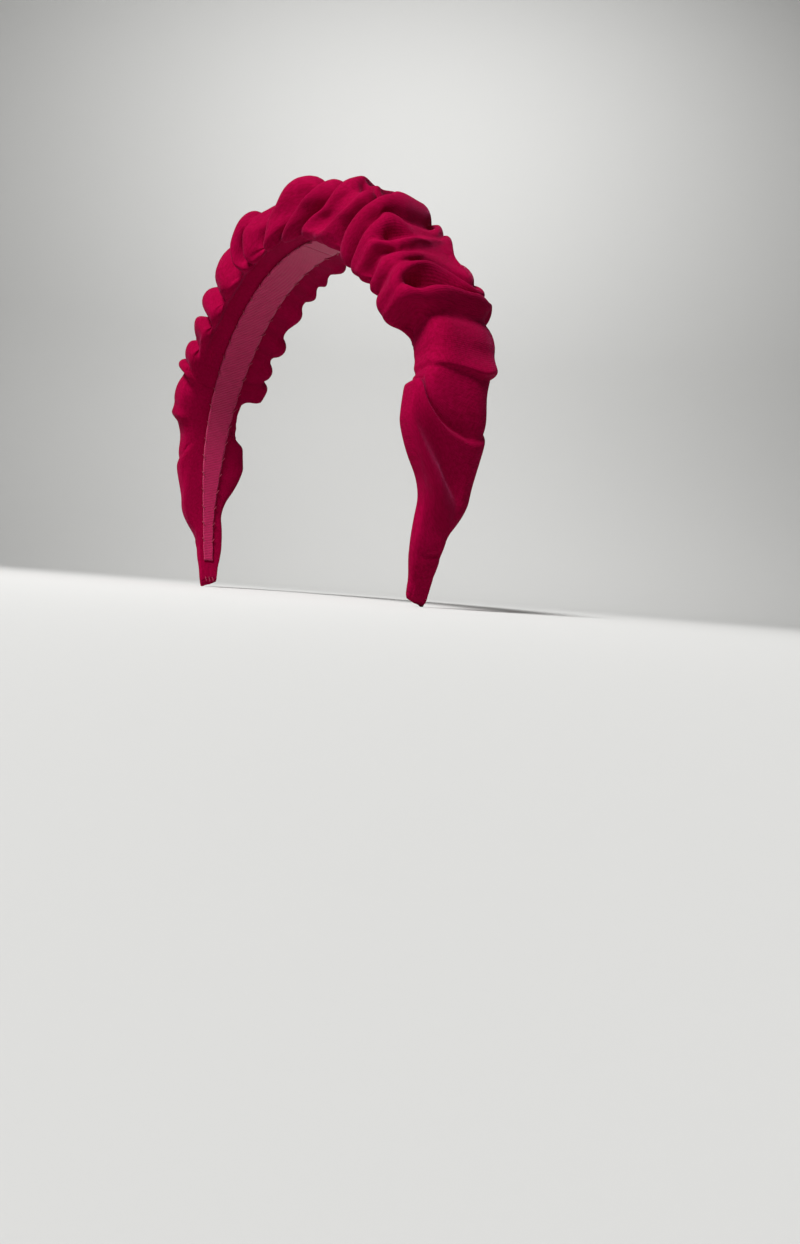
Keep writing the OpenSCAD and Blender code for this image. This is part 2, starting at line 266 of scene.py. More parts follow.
CROWN_FOLDS = [
    (1.0, [(0, -67.5, 0.5), (30, -68, 0.5), (60, -72, 0.5), (90, -73, 0.5), (135, -77, 0.5),
           (180, -79, 0.5)]),
    (0.45, [(0, -63, -5.8), (90, -68, -5.8), (180, -74, -5.8)]),
    (1.0, [(0, -56.5, 1.2), (90, -61, 1.2), (180, -66, 1.2)]),
    (0.45, [(-20, -50, -5.8), (10, -50, -5.8), (60, -51, -5.8), (120, -55, -5.8),
           (180, -59, -5.8)]),
    (1.0, [(-40, -40, 1.2), (-20, -40, 2.4), (5, -41, 3), (30, -41, 1.8), (60, -41, 1.2),
           (100, -44, 0.5), (150, -50, 0)]),
    (0.45, [(-40, -32, -4.3), (0, -33, -7.2), (30, -32, -6.5), (60, -31, -4.3), (100, -36, -4.3),
           (150, -43, -4.3)]),
    (0.7, [(-60, -23, 0), (-38, -25, 1.2), (-6, -27, 3), (5, -27.5, 4.2), (25, -25, 4),
           (45, -23, 4.2), (70, -24, 4.2), (100, -30, 4), (150, -37, 0.5)]),
    (0.5, [(-60, -20.5, -3), (-38, -22, -3.6), (-4, -24, -4.3), (8, -23.5, -3), (25, -20.5, 0),
           (45, -18, 0.3), (70, -18, 0), (100, -23, -0.8), (150, -32, -4.3)]),
    (0.7, [(-60, -17.5, 0), (-38, -19.5, 1.2), (-4, -21, 1.8), (8, -20, 2.4), (25, -16, 1.2),
           (45, -12, 0.5), (70, -12, 0), (100, -17, 2.4), (150, -27, 0)]),
    (0.45, [(-45, -12, -5.8), (-16, -11, -6.5), (0, -9.5, -7.2), (10, -7, -5.8), (25, -3, -5.1),
           (60, -1, -3.8), (100, -7, -3.8), (150, -19, -5.8)]),
    (1.0, [(-45, -7, 1.2), (-16, -5.5, 1.8), (0, -4, 1.2), (10, 0, 1.2), (25, 5, 1.8), (60, 8, 2.2),
           (100, 1, 2), (150, -12, 0)]),
    (0.45, [(-55, -0.5, -5.8), (-31, 2, -6.5), (-15, 5, -7.2), (-3, 8.5, -7.2), (3, 13, -6.5),
           (11, 16, -5.8), (24, 18.5, -5.1), (45, 21, -3), (70, 18, -2.5), (100, 9, -2.5),
           (150, -5, -5.8)]),
    (1.0, [(-55, 4.5, 1.2), (-31, 7, 1.8), (-15, 10.5, 1.8), (-3, 15, 1.8), (3, 19, 1.8),
           (11, 21.5, 2.4), (24, 24.5, 2), (45, 27.5, 1.6), (70, 25, 1.4), (100, 16, 2),
           (150, 2, 0)]),
    (0.45, [(-60, 18.5, -5.8), (-30, 19.5, -6.5), (-9, 21, -7.2), (-1, 24, -6.5), (7, 27.5, -5.8),
           (23, 31, -3.8), (40, 33, -2), (60, 32, -1.6), (80, 29, -2), (100, 22, -2.5),
           (150, 8, -5.8)]),
    (0.8, [(-60, 23.5, 1.2), (-30, 24.5, 1.8), (-9, 26, 1.8), (-1, 29.5, 2.4), (7, 33, 2.2),
           (23, 36.5, 2.2), (40, 38, 2.4), (60, 37, 2.6), (80, 34, 2.6), (100, 27, 2.4),
           (150, 13, 0)]),
    (1.0, [(-60, 32, 0.8), (-30, 33, 1.4), (-9, 34.5, 1.4), (5, 39, 0.8), (23, 43, 1.4),
           (40, 44, 1.4), (60, 42, 0.5), (80, 37.5, 0.8), (100, 31, 0.5), (150, 17, -0.8)]),
    (0.6, [(-60, 41, 0.5), (-30, 42, 1.2), (-9, 42, 1.8), (0, 45.5, 2.4), (6, 48, 2.4),
           (12, 50.5, 2.4), (36, 51.5, 2.4), (55, 49.5, 2.4), (72, 44.5, 2.4), (88, 40, 1.8),
           (103, 35, 1.2), (150, 21, 0)]),
    (0.0, [(-60, 53, -7.2), (-30, 54, -7.2), (-9, 53.5, -7.2), (0, 53, -7.2), (12, 53.8, -7.2),
           (36, 53.8, -7.2), (55, 51.8, -6.5), (72, 46.7, -5.1), (88, 42, -5.1), (103, 37.5, -4.3),
           (150, 24.5, -5.8)]),
    (1.0, [(-60, 58, 0.5), (-30, 59.5, 1.2), (-9, 58, 1.8), (0, 57.2, 2.4), (15, 57, 2.4),
           (36, 56.8, 2.4), (55, 55.5, 3), (72, 53, 3.4), (88, 50.5, 2.8), (103, 46, 2),
           (150, 33, 0)]),
    (0.4, [(-60, 64, -3), (-30, 63.8, -3), (0, 62.8, -2.5), (18, 62, -2.5), (38, 61.2, -3),
           (52, 60.3, -0.5), (67, 61, 0), (80, 61.5, 0), (94, 58.5, -0.3), (110, 53.5, -2),
           (150, 40.5, -5.1)]),
    (0.8, [(-60, 68, 0.5), (-30, 67.5, 1), (0, 66, 1.8), (18, 65, 2), (38, 64.3, 2), (52, 63.3, 2),
           (67, 63.9, 1.7), (80, 63.6, 1.2), (94, 60.6, 0.8), (110, 56.3, 0.8), (150, 45, 0)]),
    (0.5, [(-60, 71, -1), (-30, 70, 0.5), (0, 68.3, 1.3), (19, 67.5, 0.5), (30, 68, -2.5),
           (45, 68.5, -5), (62, 68, -4.5), (75, 67.4, -2), (88, 65.5, 0), (94, 64, 0.2),
           (110, 60.3, -0.5), (150, 48.5, -5.1)]),
    (0.7, [(-60, 73.5, 0.3), (-30, 72.5, 1), (0, 70.5, 1.3), (19, 69.8, 1.2), (30, 71.8, 1.2),
           (41, 73, 1.3), (62, 71.6, 1.3), (82, 69.8, 0.7), (94, 67.8, 0.7), (110, 64.8, 0.7),
           (150, 52.5, 0)]),
    (0.8, [(-60, 77, -3), (0, 75.5, -2.5), (19, 75, -2.2), (41, 76.8, -1.6), (62, 75.8, -1.3),
           (82, 73.8, 0), (94, 72.6, 0.5), (110, 70.8, 0.5), (150, 60, -5.1)]),
    (0.8, [(-60, 80.5, 0.5), (4, 80, 1), (16, 80, 1.2), (46, 80, 1.2), (81, 77, 1.6),
           (90, 76.5, 1.4), (97, 78.5, 1.4), (107, 80.5, 1.2), (130, 76, 0.5), (150, 70, 0)]),
]
# Small dents: (s, phi, half length, half angle, depth)
DENTS = [(45, 60, 4.5, 9, 4), (40, 6, 4, 12, 1.2)]
# The far arm's lines: how much they shift and change in depth, and how fast from line to line
FAR_SHIFT = 1.2
FAR_SHIFT_TURN = 2.1
FAR_CHANGE = 0.25
FAR_CHANGE_TURN = 3.7
# The number of the valley on the crown where the cover's two halves meet
SPLIT_LINE = 12 + len(NEAR_FOLDS)
# Least distance from line to line, and how far the tube's ends slant: back at the front edge and on
# at the rear one
LEAST_STEP = 0.8
END_SLANT = 1.5
# Handles of a half fold's curve, as shares of its length and height. A reach is for a sharp line,
# and how much more for a soft one. A drop or rise is for a sharp line and fades out for a soft one.
CREST_REACH = (0.05, 0.6)
CREST_DROP = 0.15
VALLEY_REACH = (-0.05, 0.5)
VALLEY_RISE = 0.6
# The mesh: rows for each half fold, columns round the tube, rounds of smoothing
ROWS_PER_HALF = 9
COLUMNS = 168
SMOOTH_PASSES = 3
# Towards the inner face, over this (start, length) of sine, the folds are pressed to pleats between
# these depths. A pleat goes from deep to shallow over a few times PLEAT_TURN in height of fold.
PRESSED = (0.4, 0.4)
PLEAT_LO = 0.05
PLEAT_HI = 0.3
PLEAT_TURN = 2
# The sheath's half width, the height that clears its outer face, and the sine past which a point
# is on the band's inner or outer face
SHEATH_HALF = [(0, 15.2), (66, 15.0), (88, 10.0), (104, 7.6), (130, 6.8), (160, 4.4), (186, 3.1)]
SHEATH_TOP = 3.75
FACE_SINE = 0.45


def mirrored(fold, number):
    """The same line on the other arm, after half a turn about the band's middle, a little changed."""
    soft, points = fold
    shift = FAR_SHIFT * math.sin(FAR_SHIFT_TURN * number)
    deeper = 1 + FAR_CHANGE * math.sin(FAR_CHANGE_TURN * number + 1)
    return soft, [(180 - phi, -s + shift, h * deeper) for phi, s, h in reversed(points)]


def fold_lines(phi):
    """Softness, arc length and height of every line at the angles phi, from tip to tip."""
    far = [mirrored(NEAR_FOLDS[k], k) for k in range(len(NEAR_FOLDS) - 1, -1, -1)]
    folds = far + CROWN_FOLDS + NEAR_FOLDS
    end = COVER_END - END_SLANT * np.cos(np.radians(phi))
    level = np.zeros(len(phi))
    places = [ring_through([(p, s) for p, s, _ in points], phi) for _, points in folds]
    heights = [ring_through([(p, h) for p, _, h in points], phi) for _, points in folds]
    s = np.array([2 * -COVER_END + end] + places + [end])
    h = np.array([level] + heights + [level])
    for i in range(1, len(s)):
        s[i] = np.maximum(s[i], s[i - 1] + LEAST_STEP)
    for i in range(len(s) - 2, -1, -1):
        s[i] = np.minimum(s[i], s[i + 1] - LEAST_STEP)
    return [1.0] + [f[0] for f in folds] + [1.0], s, h


def bezier(a, b, c, d, t):
    """A cubic Bezier curve from a to d, with handles b and c."""
    return a * (1 - t) ** 3 + b * 3 * t * (1 - t) ** 2 + c * 3 * t * t * (1 - t) + d * t ** 3


def fold_profile(soft, s, h):
    """Rows of (s, h) over every line: each half fold is a Bezier curve from crest to valley."""
    rows_s, rows_h, line_rows = [], [], []
    for i in range(len(s) - 1):
        crest, valley = (i, i + 1) if i % 2 == 0 else (i + 1, i)
        ds, dh = s[valley] - s[crest], h[valley] - h[crest]
        top, foot = soft[crest], soft[valley]
        near_s = s[crest] + ds * (CREST_REACH[0] + CREST_REACH[1] * top)
        near_h = h[crest] + dh * CREST_DROP * (1 - top)
        far_s = s[valley] - ds * (VALLEY_REACH[0] + VALLEY_REACH[1] * foot)
        far_h = h[valley] - dh * VALLEY_RISE * (1 - foot)
        line_rows.append(len(rows_s))
        for k in range(ROWS_PER_HALF):
            t = k / ROWS_PER_HALF if crest == i else 1 - k / ROWS_PER_HALF
            rows_s.append(bezier(s[crest], near_s, far_s, s[valley], t))
            rows_h.append(bezier(h[crest], near_h, far_h, h[valley], t))
    line_rows.append(len(rows_s))
    rows_s.append(s[-1])
    rows_h.append(h[-1])
    return np.array(rows_s), np.array(rows_h), line_rows


def smoothed(grid, passes):
    """A grid of points round a tube, smoothed over its rows and round them, so many passes each."""
    grid = grid.copy()
    for _ in range(passes[0]):
        grid[1:-1] += 0.25 * (grid[2:] + grid[:-2] - 2 * grid[1:-1])
    for _ in range(passes[1]):
        grid += 0.25 * (np.roll(grid, 1, 1) + np.roll(grid, -1, 1) - 2 * grid)
    return grid


def arch_place(points):
    """Arc length of points near the band, and how far out they are from its inner face."""
    x, z = np.abs(points[..., 0]), points[..., 2]
    turned = np.cumsum(ARC_TURN)
    turns = [np.arctan2(x - c[0], z - c[1]) for c in ARC_C]
    k = (turns[0] > turned[0]).astype(int)
    k += (k > 0) & (turns[1] > turned[1])
    turn = np.choose(k, turns)
    s = (ARC_END - ARC_R * ARC_TURN)[k] + (turn - (turned - ARC_TURN)[k]) * ARC_R[k]
    r = np.hypot(x - ARC_C[k, 0], z - ARC_C[k, 1]) - ARC_R[k]
    return np.where(points[..., 0] < 0, -s, s), r


def clear_of_sheath(points, up):
    """Moves points out of the sheath: past its inner face, its outer face or its edges."""
    s, r = arch_place(points)
    out = arch(s, 1, 0) - arch(s, 0, 0)
    y = points[..., 1]
    half = smooth_through(SHEATH_HALF, np.abs(s))
    within = (np.abs(y) < half) & (r < SHEATH_TOP)
    lift = np.where(within & (up < -FACE_SINE), np.minimum(PLEAT_HI + COVER_LO - r, 0), 0)
    lift = np.where(within & (up > FACE_SINE), SHEATH_TOP - r, lift)
    aside = np.where(within & (np.abs(up) <= FACE_SINE), np.where(y < 0, -half, half) - y, 0)
    points = points + out * lift[..., None]
    points[..., 1] += aside
    return points


def cover_points():
    """The gathered cover as rows of points round the band, each column's sine of phi, and the row
    of each fold line."""
    phi = np.arange(COLUMNS) * 360 / COLUMNS - 90
    up = np.sin(np.radians(phi))
    rows_s, rows_h, line_rows = fold_profile(*fold_lines(phi))
    angle = np.broadcast_to(phi, rows_s.shape)
    for s_mid, phi_mid, half_s, half_phi, depth in DENTS:
        off = ((rows_s - s_mid) / half_s) ** 2 + ((angle - phi_mid) / half_phi) ** 2
        rows_h = rows_h - depth * np.exp(-off)
    pressed = fade(-up, *PRESSED)
    pleats = -PLEAT_LO - (PLEAT_HI - PLEAT_LO) * (1 - np.tanh(rows_h / PLEAT_TURN)) / 2
    rows_h = rows_h * (1 - pressed) + pleats * pressed
    points = plain(rows_s, angle) + out_of(rows_s, angle) * rows_h[..., None]
    points = smoothed(points, (SMOOTH_PASSES, SMOOTH_PASSES))
    return points, up, line_rows


# ---- Meshes ----

def make_mesh(name, points, faces, uv=None, closed=False):
    """A smooth mesh from points in mm. uv gives each point's place on the flat cloth, in mm."""
    mesh = bpy.data.meshes.new(name)
    mesh.from_pydata((np.asarray(points).reshape(-1, 3) * MM).tolist(), [], faces)
    mesh.validate()
    if closed:
        shape = bmesh.new()
        shape.from_mesh(mesh)
        bmesh.ops.recalc_face_normals(shape, faces=shape.faces)
        shape.to_mesh(mesh)
        shape.free()
    mesh.polygons.foreach_set("use_smooth", [True] * len(mesh.polygons))
    if uv is not None:
        loops = np.zeros(len(mesh.loops), int)
        mesh.loops.foreach_get("vertex_index", loops)
        layer = mesh.uv_layers.new(name="cloth")
        layer.data.foreach_set("uv", (np.asarray(uv).reshape(-1, 2)[loops] * MM).ravel())
    piece = bpy.data.objects.new(name, mesh)
    bpy.context.scene.collection.objects.link(piece)
    return piece


def tube_faces(rows, columns, first=0):
    """The four-sided faces between rows of points round a tube, facing outwards."""
    return [
        (first + i * columns + j, first + (i + 1) * columns + j,
         first + (i + 1) * columns + (j + 1) % columns, first + i * columns + (j + 1) % columns)
        for i in range(rows - 1) for j in range(columns)
    ]


def swept(rings, first=0):
    """Points and faces of a closed solid through rings of points of equal counts."""
    rows, columns = len(rings), len(rings[0])
    last = first + (rows - 1) * columns
    ends = [tuple(range(first, first + columns)), tuple(range(last, last + columns))]
    return np.asarray(rings).reshape(-1, 3), tube_faces(rows, columns, first) + ends


def on_side(points, left):
    """Points made for the wearer's left, mirrored to the right where left is False."""
    return points if left else points * (-1, 1, 1)


def side_name(left):
    """The side's word in the names of bodies, nodes and pieces."""
    return "left" if left else "right"


# ---- Materials ----

def shader(name, color, roughness, specular=0.2, **more):
    """A new material and its node tree, with its constant values on the shader itself."""
    m = bpy.data.materials.new(name)
    m.use_nodes = True
    bsdf = m.node_tree.nodes["Principled BSDF"]
    bsdf.inputs["Base Color"].default_value = (*color, 1)
    bsdf.inputs["Roughness"].default_value = roughness
    bsdf.inputs["Specular IOR Level"].default_value = specular
    for socket, value in more.items():
        bsdf.inputs[socket.replace("_", " ").title()].default_value = value
    return m, m.node_tree, bsdf


def cloth_place(tree, has_uv):
    """The socket that gives a point's place: on the flat cloth, or in the object's own space."""
    if has_uv:
        return tree.nodes.new("ShaderNodeUVMap").outputs["UV"]
    return tree.nodes.new("ShaderNodeTexCoord").outputs["Object"]


def noise(tree, place, scale, detail=2.0, stretch=(1, 1, 1)):
    """Noise with scale lumps to the metre, squeezed along each axis by stretch."""
    mapping = tree.nodes.new("ShaderNodeMapping")
    mapping.inputs["Scale"].default_value = stretch
    tree.links.new(place, mapping.inputs["Vector"])
    node = tree.nodes.new("ShaderNodeTexNoise")
    node.inputs["Scale"].default_value = scale
    node.inputs["Detail"].default_value = detail
    tree.links.new(mapping.outputs["Vector"], node.inputs["Vector"])
    return node.outputs["Fac"]


# Length of one wave of the wave texture at scale 1
WAVE_PER_SCALE = 0.314


def bands(tree, place, pitch, axis, distort=0.0):
    """Even threads or ribs, pitch metres apart along an axis of the place."""
    node = tree.nodes.new("ShaderNodeTexWave")
    node.bands_direction = axis
    node.inputs["Scale"].default_value = WAVE_PER_SCALE / pitch
    node.inputs["Distortion"].default_value = distort
    node.inputs["Detail Scale"].default_value = 2.0
    tree.links.new(place, node.inputs["Vector"])
    return node.outputs["Fac"]


def math_node(tree, kind, a, b):
    """The result of a maths operation on two numbers or sockets."""
    node = tree.nodes.new("ShaderNodeMath")
    node.operation = kind
    for socket, value in zip(node.inputs, (a, b)):
        if isinstance(value, float):
            socket.default_value = value
        else:
            tree.links.new(value, socket)
    return node.outputs["Value"]


def paint(tree, bsdf, amount, dark, light):
    """Base colour that runs from dark to light with amount."""
    ramp = tree.nodes.new("ShaderNodeValToRGB")
    ramp.color_ramp.elements[0].color = (*dark, 1)
    ramp.color_ramp.elements[1].color = (*light, 1)
    ramp.color_ramp.elements[0].position = 0.3
    ramp.color_ramp.elements[1].position = 0.7
    tree.links.new(amount, ramp.inputs["Fac"])
    tree.links.new(ramp.outputs["Color"], bsdf.inputs["Base Color"])


def mixed(tree, a, b, share):
    """Two values added in shares: 1 - share of a, and share of b."""
    return math_node(tree, "ADD", math_node(tree, "MULTIPLY", a, 1 - share),
                     math_node(tree, "MULTIPLY", b, share))


def bump(tree, bsdf, height, depth):
    """Bump from a height, depth metres deep."""
    node = tree.nodes.new("ShaderNodeBump")
    node.inputs["Distance"].default_value = depth
    tree.links.new(height, node.inputs["Height"])
    tree.links.new(node.outputs["Normal"], bsdf.inputs["Normal"])


def crepe(name, has_uv):
    """Matt crepe: a fine pebbled grain over a plain weave, and a soft pink bloom at grazing light."""
    m, tree, bsdf = shader(
        name, (0.23, 0.0002, 0.027), 0.85, 0.02,
        sheen_weight=0.11, sheen_roughness=0.3, sheen_tint=(1.0, 0.22, 0.55, 1))
    place = cloth_place(tree, has_uv)
    grain = noise(tree, place, 2600.0, 3.0)
    pitch = 0.00055
    weave = math_node(tree, "MULTIPLY", bands(tree, place, pitch, "X", 0.6),
                      bands(tree, place, pitch, "Y", 0.6))
    height = math_node(tree, "ADD", grain, math_node(tree, "MULTIPLY", weave, 0.6))
    bump(tree, bsdf, height, 0.00012)
    tone = mixed(tree, noise(tree, place, 60.0), noise(tree, place, 900.0, 3.0), 0.7)
    paint(tree, bsdf, tone, (0.18, 0.0001, 0.018), (0.295, 0.0003, 0.038))
    return m


def ribbon():
    """Grosgrain ribbon: fine cross ribs with a dull gleam."""
    m, tree, bsdf = shader("ribbon", (0.38, 0.004, 0.07), 0.45, 0.25, sheen_weight=0.1)
    place = cloth_place(tree, True)
    ribs = bands(tree, place, 0.0008, "Y", 0.3)
    bump(tree, bsdf, ribs, 0.00015)
    tone = mixed(tree, ribs, noise(tree, place, 300.0), 0.5)
    paint(tree, bsdf, tone, (0.30, 0.002, 0.05), (0.46, 0.008, 0.09))
    return m


def sewing_thread():
    """Spun thread: strands twisted round its length."""
    m, tree, bsdf = shader("sewing_thread", (0.3, 0.002, 0.04), 0.5, 0.25, sheen_weight=0.2)
    place = cloth_place(tree, True)
    twist = tree.nodes.new("ShaderNodeMapping")
    twist.inputs["Rotation"].default_value = (0, 0, math.radians(35))
    tree.links.new(place, twist.inputs["Vector"])
    strands = bands(tree, twist.outputs["Vector"], 0.00022, "X")
    bump(tree, bsdf, strands, 0.00006)
    paint(tree, bsdf, strands, (0.2, 0.001, 0.025), (0.4, 0.003, 0.06))
    return m


def satin():
    """The slip round the core: smooth satin with long floats along the band."""
    m, tree, bsdf = shader("satin", (0.5, 0.12, 0.2), 0.3, 0.45, sheen_weight=0.2)
    place = cloth_place(tree, False)
    floats = noise(tree, place, 900.0, 2.0, (1, 6, 1))
    bump(tree, bsdf, floats, 0.00008)
    paint(tree, bsdf, floats, (0.42, 0.08, 0.15), (0.58, 0.16, 0.26))
    return m


def plastic():
    """Moulded core: dull white plastic with faint flow marks."""
    m, tree, bsdf = shader("core_plastic", (0.75, 0.74, 0.71), 0.42, 0.45)
    place = cloth_place(tree, False)
    flow = noise(tree, place, 220.0, 3.0, (1, 0.3, 1))
    bump(tree, bsdf, flow, 0.00005)
    paint(tree, bsdf, flow, (0.70, 0.69, 0.65), (0.80, 0.79, 0.77))
    return m


def wadding():
    """Polyester wadding: loose white fibres."""
    m, tree, bsdf = shader("wadding", (0.85, 0.85, 0.84), 0.95, 0.05, sheen_weight=0.4)
    place = cloth_place(tree, False)
    fibres = noise(tree, place, 700.0, 6.0, (1, 3, 1))
    bump(tree, bsdf, fibres, 0.0004)
    paint(tree, bsdf, fibres, (0.74, 0.74, 0.73), (0.92, 0.92, 0.91))
    return m


CREPE = crepe("crepe", True)
RIBBON = ribbon()
THREAD = sewing_thread()
WADDING = wadding()

# ---- The cover: one tube of crepe, as two halves that meet in a valley on the crown ----

# Arc length each side of the flex line at which bend_at_flex finds points on the core
FLEX_REACH = 14
CORE_MID_R = 2.3
COVER_WALL = 0.3

# The simulation runs on every third row and second column, ten times real size
ROW_SKIP = 3
COLUMN_SKIP = 2
SIM_SCALE = 10
SIM_FRAMES = 20
CLOTH_GAP = 0.3
# Where the cloth is held firmly, each over a (start, length): towards the inner face by sine, and
# towards the ends by share of the way from the crown. Everywhere else it is held loosely.
HELD_FACE = (0.25, 0.3)
HELD_END = (0.97, 0.02)
LOOSE_HOLD = 0.06
# What is kept of the cloth's move: its broad part is taken off, its length is limited, and most of
# it (FLAT_SHARE) is taken off past the gathers, where the cloth lies flat
BROAD_PASSES = (60, 10)
MOST_MOVE = 2.0
FLAT_ARM = (87, 10)
FLAT_SHARE = 0.93
SPREAD_PASSES = (2, 2)
AFTER_PASSES = (2, 3)
CLOTH_SETTINGS = {
    "quality": 5, "mass": 0.3, "tension_stiffness": 15, "compression_stiffness": 15,
    "shear_stiffness": 5, "bending_stiffness": 0.05, "air_damping": 2, "shrink_min": -0.05,
    "use_pressure": True, "uniform_pressure_force": -3
}


def place_on(s):
    """The point of the core's middle at arc length s, in metres."""
    return tuple(arch(s, CORE_MID_R, 0.0) * MM)


def bend_at_flex(piece, left):
    """Bakes the piece's transform into its mesh; the core's points each side of the flex line are found
    but not used.
    """
    side = 1 if left else -1
    place_on(side * (FLEX_AT - FLEX_REACH))
    place_on(side * (FLEX_AT + FLEX_REACH))
    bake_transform(piece)


def lengths(points, axis):
    """Distance along rows (axis 0) or round them (axis 1), measured on the cloth."""
    step = np.linalg.norm(np.diff(points, axis=axis), axis=-1)
    start = np.zeros_like(np.take(step, [0], axis=axis))
    return np.concatenate([start, np.cumsum(step, axis=axis)], axis=axis)


def cloth_uv(points):
    """Each point's place on the flat cloth: distance round the tube, and mean distance along it."""
    along = lengths(points, 0).mean(1, keepdims=True)
    return np.stack([lengths(points, 1), np.broadcast_to(along, points.shape[:2])], -1)


def thicken(piece, wall):
    """Gives the sheet its thickness, inwards, as part of the mesh."""
    solid = piece.modifiers.new("wall", "SOLIDIFY")
    solid.thickness = wall * MM
    solid.offset = -1
    apply_modifiers(piece)


def apply_modifiers(piece):
    """The piece's mesh becomes what its modifiers make of it."""
    bpy.context.view_layer.update()
    evaluated = piece.evaluated_get(bpy.context.evaluated_depsgraph_get())
    mesh = bpy.data.meshes.new_from_object(evaluated)
    piece.modifiers.clear()
    piece.data = mesh


def relaxed(points, up):
    """The cover after a cloth simulation: it is drawn in between its crests and wrinkles, held firmly
    along the inner face and at the ends, and loosely elsewhere."""
    coarse = points[::ROW_SKIP, ::COLUMN_SKIP]
    rows, columns = coarse.shape[:2]
    piece = make_mesh("cloth_simulation", coarse * SIM_SCALE, tube_faces(rows, columns))
    held = piece.vertex_groups.new(name="held")
    firm = fade(-up[::COLUMN_SKIP], *HELD_FACE)[None, :]
    ends = fade(np.abs(np.linspace(-1, 1, rows)), *HELD_END)[:, None]
    weight = np.maximum(np.maximum(firm, ends), LOOSE_HOLD)
    for i, w in enumerate(weight.ravel()):
        held.add([i], float(w), "REPLACE")
    cloth = piece.modifiers.new("cloth", "CLOTH")
    cloth.point_cache.frame_start, cloth.point_cache.frame_end = 1, SIM_FRAMES
    for name, value in CLOTH_SETTINGS.items():
        setattr(cloth.settings, name, value)
    cloth.settings.vertex_group_mass = "held"
    cloth.settings.effector_weights.gravity = 0
    cloth.collision_settings.use_self_collision = True
    cloth.collision_settings.self_distance_min = CLOTH_GAP * MM * SIM_SCALE
    for frame_number in range(1, SIM_FRAMES + 1):
        bpy.context.scene.frame_set(frame_number)
    done = piece.evaluated_get(bpy.context.evaluated_depsgraph_get()).data
    after = np.zeros(rows * columns * 3)
    done.vertices.foreach_get("co", after)
    bpy.data.objects.remove(piece)
    bpy.context.scene.frame_set(1)
    moved = after.reshape(coarse.shape) / (MM * SIM_SCALE) - coarse
    moved -= smoothed(moved, BROAD_PASSES) * (1 - weight[..., None])
    moved *= MOST_MOVE / np.maximum(np.linalg.norm(moved, axis=-1, keepdims=True), MOST_MOVE)
    moved *= 1 - FLAT_SHARE * fade(np.abs(arch_place(coarse)[0]), *FLAT_ARM)[..., None]
    return points + spread_back(moved, points.shape)


def spread_back(moved, shape):
    """A coarse grid of moves spread to the full grid, along the rows and round them."""
    rows, columns = shape[:2]
    at = np.arange(rows) / ROW_SKIP
    k = np.minimum(at.astype(int), len(moved) - 2)
    t = (at - k)[:, None, None]
    moved = moved[k] * (1 - t) + moved[k + 1] * t
    at = np.arange(columns) / COLUMN_SKIP
    k = at.astype(int)
    t = (at - k)[None, :, None]
    moved = moved[:, k] * (1 - t) + moved[:, (k + 1) % moved.shape[1]] * t
    return smoothed(moved, SPREAD_PASSES)


def make_cover_half(points, left):
    """Half of the cover, as a tube of cloth with a thickness."""
    name = f"cover_{side_name(left)}_gathered"
    piece = make_mesh(name, points, tube_faces(len(points), COLUMNS), cloth_uv(points))
    piece.data.materials.append(CREPE)
    thicken(piece, COVER_WALL)
    bend_at_flex(piece, left)
    return piece


cover, cover_up, cover_lines = cover_points()
cover = smoothed(relaxed(cover, cover_up), AFTER_PASSES)
cover = clear_of_sheath(cover, cover_up)
split = cover_lines[SPLIT_LINE]
cover_right = make_cover_half(cover[:split + 1], False)
cover_left = make_cover_half(cover[split:], True)
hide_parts("cover_left", "cover_crown")
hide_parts("cover_right")

# ---- The turned-in ends ----

END_ROWS = 10
END_LENGTH = 2.4
# How far the lips close in thickness and narrow in width, and how early they close
LIP_CLOSE = 0.72
LIP_NARROW = 0.16
LIP_EARLY = 1.3
# The lips start this far inside the cover, and are tucked in by so much at the end
LIP_OVERLAP = 0.1
TUCK_CLOSE = 0.75
TUCK_DEPTH = 0.7


def make_end_fold(left):
    """The end of the tube, turned in and pressed to two lips that meet across the tip."""
    ring = cover[-1] if left else cover[0]
    middle = ring.mean(0)
    side = 1 if left else -1
    down = unit(arch(side * TIP, 0, 0) - arch(side * (TIP - 2), 0, 0))
    out = unit(arch(side * TIP, 1, 0) - arch(side * TIP, 0, 0))
    rings = []
    for k in range(END_ROWS + 1):
        t = k / END_ROWS
        off = ring - middle
        r = off @ out
        y = off[:, 1]
        slant = off @ down
        r = r * (1 - LIP_CLOSE * ease(t * LIP_EARLY))
        y = y * (1 - LIP_NARROW * t * t)
        reach = END_LENGTH * math.sin(t * math.pi / 2)
        rings.append(middle + r[:, None] * out + y[:, None] * np.array([0, 1, 0])
                     + (slant + reach - LIP_OVERLAP)[:, None] * down)
    last = rings[-1] - middle
    rings.append(middle + last - (last @ out)[:, None] * out * TUCK_CLOSE - TUCK_DEPTH * down)
    points, faces = swept(np.array(rings))
    uv = cloth_uv(np.array(rings))
    piece = make_mesh(f"end_fold_{side_name(left)}_lips", points, faces, uv, closed=True)
    piece.data.materials.append(CREPE)
    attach(piece, side_name(left) + "_arm")
    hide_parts("end_fold_" + side_name(left))


for left in (True, False):
    make_end_fold(left)

# ---- Lining ribbon, its stitches and the end stitches ----

LINING_HALF = [(0, 7.0), (60, 7.0), (118, 5.4), (160, 2.5), (186, 2.2)]
LINING_END = 174.0
LINING_T = 0.4
LINING_LO = 0.04
# Swing of the edges and lift of their corners between stitches
EDGE_WAVE = 0.12
EDGE_LIFT = 0.12
STITCH_PITCH = 8.0


